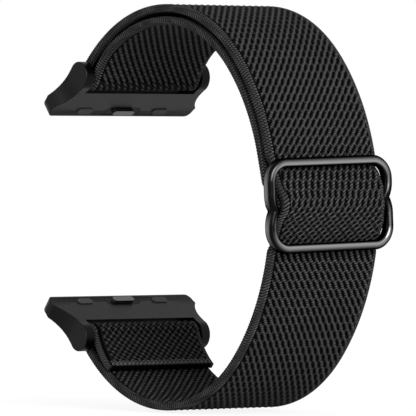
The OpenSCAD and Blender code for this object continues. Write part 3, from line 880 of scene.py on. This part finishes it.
def add_stitch(bm, x, start, end, out):
    """One bowed thread between two points of the YZ plane, standing out along out."""
    start, end, out = np.array(start), np.array(end), np.array(out)

    def place(u, v):
        a = 2 * math.pi * (np.rint(u * STITCH_AROUND) % STITCH_AROUND) / STITCH_AROUND
        bow = STITCH_LIFT * (np.sin(math.pi * v) ** 0.5 - 1)
        radius = THREAD_D / 2 * (0.55 + 0.45 * np.sin(math.pi * v) ** 0.5)
        middle = start + np.outer(v, end - start) + np.outer(bow, out)
        side = radius * np.cos(a)
        tall = np.outer(radius * np.sin(a), out)
        spot = middle + tall
        tone = 0.5 + 0.5 * np.cos(2 * math.pi * (v * 5 + u))
        return x + side, spot[:, 0], spot[:, 1], tone

    size = (THREAD_D * 3, math.dist(start, end))
    mapped_grid(bm, STITCH_AROUND, STITCH_AROUND, place, size)


def stitch_places():
    """X of each stitch of a row across the webbing."""
    count = math.floor(BAND_W / STITCH_PITCH) - 2
    return [(i - count / 2) * STITCH_PITCH for i in range(count + 1)]


# %% Hem stitches
bm = bmesh.new()
middle_angle = (HEM_START + FLAP_END) / 2
lie = CLOSING_R - FLAP_T / 2 - THREAD_D / 2 - STITCH_GAP
seam = np.array(ray(middle_angle, lie, flap_centre)) * (1, -1)
inward = -np.array(ray(middle_angle, 1.0)) * (1, -1)
ahead = np.array([-inward[1], inward[0]]) * 0.4 * HEM_W
for x in stitch_places():
    add_stitch(bm, x, seam - ahead, seam + ahead, inward)
pieces["hem_stitching"] = finish_piece("hem_stitching_thread", bm, sewing_thread)

# %% Stitches of the sewn end
SEAM_LOW, SEAM_HIGH = 1.8, 3.2
bm = bmesh.new()
outward = -np.array(leg_face)
off = outward * (SEWN_T / 2 + THREAD_D / 2 + STITCH_GAP)
low, high = (
    set_up(np.array([[*(foot + leg_way * s + off), *outward]]))[0] for s in (SEAM_LOW, SEAM_HIGH)
)
for x in stitch_places():
    add_stitch(bm, x, low[:2], high[:2], low[2:])
pieces["sewn_end_stitching"] = finish_piece("sewn_end_thread", bm, sewing_thread)

# %% [markdown]
# ## The buckle
#
# The frame of the buckle is one bent bar with a rounded section. Each quarter of it is swept
# along half a bar, a corner, the rail and the arc that draws the rail in. bisect_plane cuts the
# quarter where it meets the next one, mirror and turn give the other three, and the cut edges
# are welded. A curve with a round bevel would be quicker, but it can't meet itself in the sharp
# notch of the rails, nor carry a tone round its section: the tone paints a highlight into the
# black plating, a pale band along the front of the bars and thin bright lines on the rails.

# %% Buckle frame
RAIL_SWING = math.degrees(math.acos(1 - PINCH / RAIL_ARC_R))
# The arc of a rail is drawn this many degrees past the notch, and cut there
PAST_NOTCH = 12
AROUND, ROW = 32, 0.2
# Points of one seam that lie this close are welded
SEAM = 2e-6


def quarter(notch):
    """Mesh of one quarter of the frame, in its own plane.

    Its rows are counted back from the notch, so that two quarters match where they are cut.
    """
    bar_len, corner_z = RAIL_X - CORNER_R, BAR_HALF - CORNER_R
    arc_top = notch + RAIL_ARC_R * math.sin(math.radians(RAIL_SWING))
    way = route(
        line((0, BAR_HALF), (bar_len, BAR_HALF), (0, 1)),
        arc((bar_len, corner_z), CORNER_R, 90, 0),
        line((RAIL_X, corner_z), (RAIL_X, arc_top), (1, 0)),
        arc((RAIL_X - RAIL_ARC_R, arc_top), RAIL_ARC_R, 0, -RAIL_SWING - PAST_NOTCH),
    )
    total = way[-1, 0]
    rows = math.ceil(total / ROW)

    def place(u, v):
        a = 2 * math.pi * (np.rint(u * AROUND) % AROUND) / AROUND
        x, z, nx, nz = along(way, np.maximum(total - (1 - v) * rows * ROW, 0))
        c = np.cos(a)
        front = np.sin(a) < -1e-6
        flat = FRAME_D / 2 * c
        deep = FRAME_D / 2 * np.sin(a) - np.where(front, FRAME_DEPTH - FRAME_D, 0)
        # Painted highlight: bars get a wide pale band, rails a narrow one and a bright outer rim
        on_bar = np.clip(nz, 0, 1)
        wide = np.where(c < -0.4, bell((-0.4 - c) / 0.25), bell((c + 0.4) / 1.1))
        narrow = 0.4 * bell(np.abs(c + 0.25) / 0.35) * front
        rim = 0.6 * bell((1 - c) / 0.045)
        on_rail = (1 - on_bar) * bell(-nz / 0.5)
        painted_highlight = on_bar * wide * front + on_rail * (narrow + rim)
        return x + nx * flat, deep, z + nz * flat, painted_highlight

    part = bmesh.new()
    mapped_grid(part, AROUND, rows, place, (FRAME_D * 4, total), cap=False)
    bmesh.ops.bisect_plane(
        part,
        geom=list(part.verts) + list(part.edges) + list(part.faces),
        dist=1e-8,
        plane_co=(0, 0, notch * MM),
        plane_no=(0, 0, -1),
        clear_outer=True,
    )
    made = bpy.data.meshes.new("quarter")
    part.to_mesh(made)
    part.free()
    return made


def at_buckle():
    """The move from a buckle drawn about level to where it is set on the flat side."""
    pivot = Matrix.Translation((0, SIDE_Y * MM, 0))
    return pivot @ Matrix.Rotation(-math.radians(SET), 4, "X") @ pivot.inverted()


bm = bmesh.new()
tilt = Matrix.Translation((0, FRAME_Y * MM, 0)) @ Matrix.Rotation(
    -math.radians(BUCKLE_TILT), 4, "Y"
)
for turned in (0, math.pi):
    for up_down in (1, -1):
        mesh = quarter(up_down * NOTCH_SHIFT)
        mesh.transform(
            tilt @ Matrix.Rotation(turned, 4, "Y") @ Matrix.Diagonal((1, 1, up_down, 1))
        )
        bm.from_mesh(mesh)
        bpy.data.meshes.remove(mesh)
bmesh.ops.remove_doubles(bm, verts=bm.verts, dist=SEAM)
bmesh.ops.recalc_face_normals(bm, faces=bm.faces)
print("open edges of the buckle frame:", sum(e.is_boundary for e in bm.edges))

# %% [markdown]
# A boss on each rail holds the end of the middle bar. It is a short cylinder with broken edges,
# sunk into the rail, as a cast boss is one with its frame.


# %% Bosses
def bevel(bm, edges, width, segments, clamp):
    """Rounds edges to a width in metres. clamp keeps bevels from running into one another."""
    look = {"affect": "EDGES", "profile": 0.5, "material": -1, "clamp_overlap": clamp}
    bmesh.ops.bevel(bm, geom=edges, offset=width, segments=segments, **look)


BOSS_R, BOSS_LEN, BOSS_EDGE, BOSS_X = 0.9, 1.0, 0.15, RAIL_X - PINCH - 0.2
for side in (-1, 1):
    boss = bmesh.new()
    bmesh.ops.create_cone(
        boss,
        cap_ends=True,
        segments=40,
        radius1=BOSS_R * MM,
        radius2=BOSS_R * MM,
        depth=BOSS_LEN * MM,
    )
    rims = [e for e in boss.edges if any(len(f.verts) > 4 for f in e.link_faces)]
    bevel(boss, rims, BOSS_EDGE * MM, 3, False)
    mesh = bpy.data.meshes.new("boss")
    boss.to_mesh(mesh)
    boss.free()
    spot = Matrix.Translation((side * BOSS_X * MM, MIDDLE_Y * MM, 0))
    mesh.transform(spot @ Matrix.Rotation(math.pi / 2, 4, "Y"))
    bm.from_mesh(mesh)
    bpy.data.meshes.remove(mesh)
bmesh.ops.transform(bm, matrix=at_buckle(), verts=bm.verts)
print(f"bosses at x {BOSS_X:.2f} mm to either side")

# %% [markdown]
# ## Metal and rubber
#
# The buckle has a glossy black nickel plating, with a painted highlight on the front of its bars.
# The connectors have the same plating on a satin ground, and their pins and latches are bare
# steel.
# One recipe makes all three. Plain values would do for a far view, but fine noise in the roughness
# keeps the reflections from looking drawn. The bumpers in the connectors are matt rubber.


# %% Metals
def plated(name, dark, pale, roughness, grain, sheen):
    """Plated metal: pale where the tone attribute is 1, dark elsewhere, with a fine grain.

    sheen is how much a face gives back that is seen almost from its edge.
    """
    made, tree = material(name)
    shader = node(tree, "ShaderNodeBsdfPrincipled", Metallic=1.0)
    shader.inputs["Specular Tint"].default_value = (sheen, sheen, sheen, 1)
    tone = node(tree, "ShaderNodeAttribute", attribute_name="tone")
    ramp = tree.nodes.new("ShaderNodeValToRGB")
    ramp.color_ramp.elements[0].color = (dark, dark, dark * 1.04, 1)
    ramp.color_ramp.elements[1].color = (pale, pale, pale * 1.02, 1)
    tree.links.new(tone.outputs["Fac"], ramp.inputs[0])
    tree.links.new(ramp.outputs[0], shader.inputs["Base Color"])
    marks = noise(tree, 2500.0, 4.0)
    uneven = spread_out(tree, marks.outputs["Fac"], roughness * 0.75, roughness * 1.3)
    tree.links.new(uneven, shader.inputs["Roughness"])
    bump_and_output(tree, shader, marks, grain, 0.00002)
    print(f"{name}: {len(tree.nodes)} nodes")
    return made


# The pale stop of the buckle's plating is a painted highlight, laid by the tone of the frame
black_nickel_painted_highlight = plated("glossy_black_nickel_painted_highlight", 0.006, 0.33, 0.22, 0.05, 0.25)
satin_black = plated("satin_black_nickel", 0.012, 0.012, 0.34, 0.25, 0.8)
satin_steel = plated("satin_steel", 0.12, 0.12, 0.35, 0.2, 1.0)
pieces["buckle_frame"] = finish_piece("buckle_frame_bars", bm, black_nickel_painted_highlight)

# %% Rubber
rubber, tree = material("matt_black_rubber")
shader = node(tree, "ShaderNodeBsdfPrincipled", Roughness=0.75)
grain = noise(tree, 6000.0, 2.0)
shade = tree.nodes.new("ShaderNodeValToRGB")
for stop, grey in zip(shade.color_ramp.elements, (0.012, 0.03)):
    stop.color = (grey, grey, grey, 1)
tree.links.new(grain.outputs["Fac"], shade.inputs[0])
tree.links.new(shade.outputs[0], shader.inputs["Base Color"])
bump_and_output(tree, shader, grain, 0.2, 0.00003)
print(f"{rubber.name}: {len(tree.nodes)} nodes")

# %% [markdown]
# The edges of a connector are tumbled smooth. A copy of each solid body is merged, its flat
# faces are dissolved to single ones, and bevel breaks every sharp edge by about a tenth of a
# millimetre. The narrow new faces catch the light, which a bevel drawn by the shader alone
# would not show in the outline.


# %% Broken edges
# Edges that bend more than this, in radians, count as sharp
SHARP = 0.6


def broken_edges(solid, offset):
    """A merged copy of a solid with its sharp edges bevelled."""
    made = bmesh.new()
    made.from_mesh(solid.data)
    bmesh.ops.transform(made, matrix=solid.matrix_world, verts=made.verts)
    bmesh.ops.remove_doubles(made, verts=made.verts, dist=SEAM)
    bmesh.ops.dissolve_limit(
        made, angle_limit=math.radians(1), verts=made.verts, edges=made.edges
    )
    sharp = [e for e in made.edges if len(e.link_faces) == 2 and e.calc_face_angle() > SHARP]
    bevel(made, sharp, offset, 2, True)
    bmesh.ops.triangulate(made, faces=[f for f in made.faces if len(f.verts) > 4])
    bmesh.ops.recalc_face_normals(made, faces=made.faces)
    print(solid.name, "open edges:", sum(e.is_boundary for e in made.edges))
    return made


def stand_in(part, ending, offset, smooth_to, stuff):
    """Dresses one part of both connectors as a copy with broken edges."""
    for place in ("upper", "lower"):
        name = f"{place}_{part}"
        made = broken_edges(frame["nodes"][name], offset * MM)
        pieces[name] = finish_piece(f"{name}_{ending}", made, stuff)
        pieces[name].data.set_sharp_from_angle(angle=math.radians(smooth_to))


# %% Connector bodies
stand_in("connector_body", "tumbled", 0.12, 15, satin_black)

# %% [markdown]
# The leaf spring behind each latch is an arch. Its crest lies in the pocket and its feet carry
# the latch. The solid is rigid; a copy of it stands in.

# %% Latch springs
stand_in("latch_spring", "leaf", 0.02, 30, satin_steel)

# %% [markdown]
# The other metal parts and the bumpers are plain round or flat shapes, which the solids already
# have. They stay as they are and only get a finish: satin black for the covers, steel for the
# pins and latches, rubber for the bumpers, and the plating of the buckle for its middle bar.

# %% Finishes of the solids that stay
finishes = {
    "latch_cover": satin_black,
    "loop_bar": satin_steel,
    "latch_button": satin_steel,
    "side_bumpers": rubber,
    "middle_bar": black_nickel_painted_highlight,
}
for name, thing in frame["nodes"].items():
    for ending, finish in finishes.items():
        if name.endswith(ending):
            thing.data.materials.clear()
            thing.data.materials.append(finish)
            print(f"{name}: {finish.name}")

# %% [markdown]
# ## Joining the pieces to the moving bodies
#
# Most pieces ride on the body of their solid. The stretches at the bends and beside the buckle
# lie between two bodies. Cut there, the strip would tear when a joint moves. Their two bodies and
# the two ends of each are listed, and each is moved into place but joined to no body.


# %% Rides and blends
def loop_spot(angle, radius, centre, lower=False):
    """A point on an arc of the loop, in metres."""
    y, z = ray(angle, radius, centre)
    return (0, y * MM, (-z if lower else z) * MM)


near_end = set_up(np.array([[*(foot + leg_way * SEWN_LEG), *leg_face]]))[0] * MM
slide_return = (loop_spot(RUN_END, RETURN_SIDE_R, SIDE), (0, near_end[0], near_end[1]))


def between(start, end, radius, centre, lower=False):
    """The two ends of an arc of the loop."""
    return tuple(loop_spot(angle, radius, centre, lower) for angle in (start, end))


at_top, at_bottom = ("upper_strap_end", "strap"), ("lower_strap_end", "strap")
at_side = ("strap", "buckle")
blends = {
    "webbing_upper_bend": (at_top, between(BEND_START, BEND_END, OUTER_R, TOP)),
    "return_bend": (at_top, between(BEND_START, BEND_END, RETURN_R, TOP)),
    "webbing_lower_bend": (at_bottom, between(BEND_START, BEND_END, OUTER_R, TOP, True)),
    "webbing_above_buckle": (at_side, between(RUN_END, CROSSING - SET, SIDE_R, SIDE)),
    "webbing_below_buckle": (at_side, between(RUN_END, CROSSING + SET, SIDE_R, SIDE, True)),
    "return_above_buckle": (at_side, slide_return),
    "return_near_buckle": (at_side, slide_return),
}
bodies = {n: b for b, members in frame["record"]["behaviour"]["bodies"].items() for n in members}
for name, piece in pieces.items():
    if name in blends:
        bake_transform(piece)
    else:
        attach(piece, bodies[name])
    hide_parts(name)
print(f"{len(pieces)} pieces, of which {len(blends)} follow two bodies")

# %% [markdown]
# A pressed latch comes 0.6 mm closer to the crest of its spring, so the arch flattens to a
# little over half its height. Here each spring only gets a mesh of its own; nothing flattens it.

# %% Springs under the latches
for joint in frame["record"]["behaviour"]["joints"]:
    if joint["name"].endswith("latch_press"):
        way = Vector(joint["axis"])
        piece = pieces[joint["name"].replace("press", "spring")]
        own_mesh(piece)

# %% [markdown]
# ## Sheets
#
# Every stretch of the webbing that is long enough is listed as a sheet of cloth, and the size it
# was cut to is printed. The short stretches are listed with the sheet that they grow out of.

# %% Sheets
sheets = {
    "webbing_upper_end": ["webbing_upper_turn", "webbing_upper_bend"],
    "webbing_upper_run": [],
    "webbing_above_buckle": [],
    "webbing_crossing": [],
    "webbing_below_buckle": [],
    "webbing_lower_run": [],
    "webbing_lower_end": [
        "webbing_lower_bend", "webbing_lower_turn", "fold_back_flap", "flap_hem", "hem_stitching"
    ],
    "return_run": ["return_bend", "return_upper_end", "return_upper_closing"],
    "return_above_buckle": ["return_near_buckle"],
    "return_sewn_end": ["sewn_end_stitching"],
}
for name, others in sheets.items():
    print(f"{name}: {BAND_W:.1f} x {lengths[name]:.2f} mm")

# %% [markdown]
# ## Sizes
#
# The dressed band has to stay inside the box of the plain solids. Here the view layer is
# only brought up to date.

# %% Sizes
bpy.context.view_layer.update()
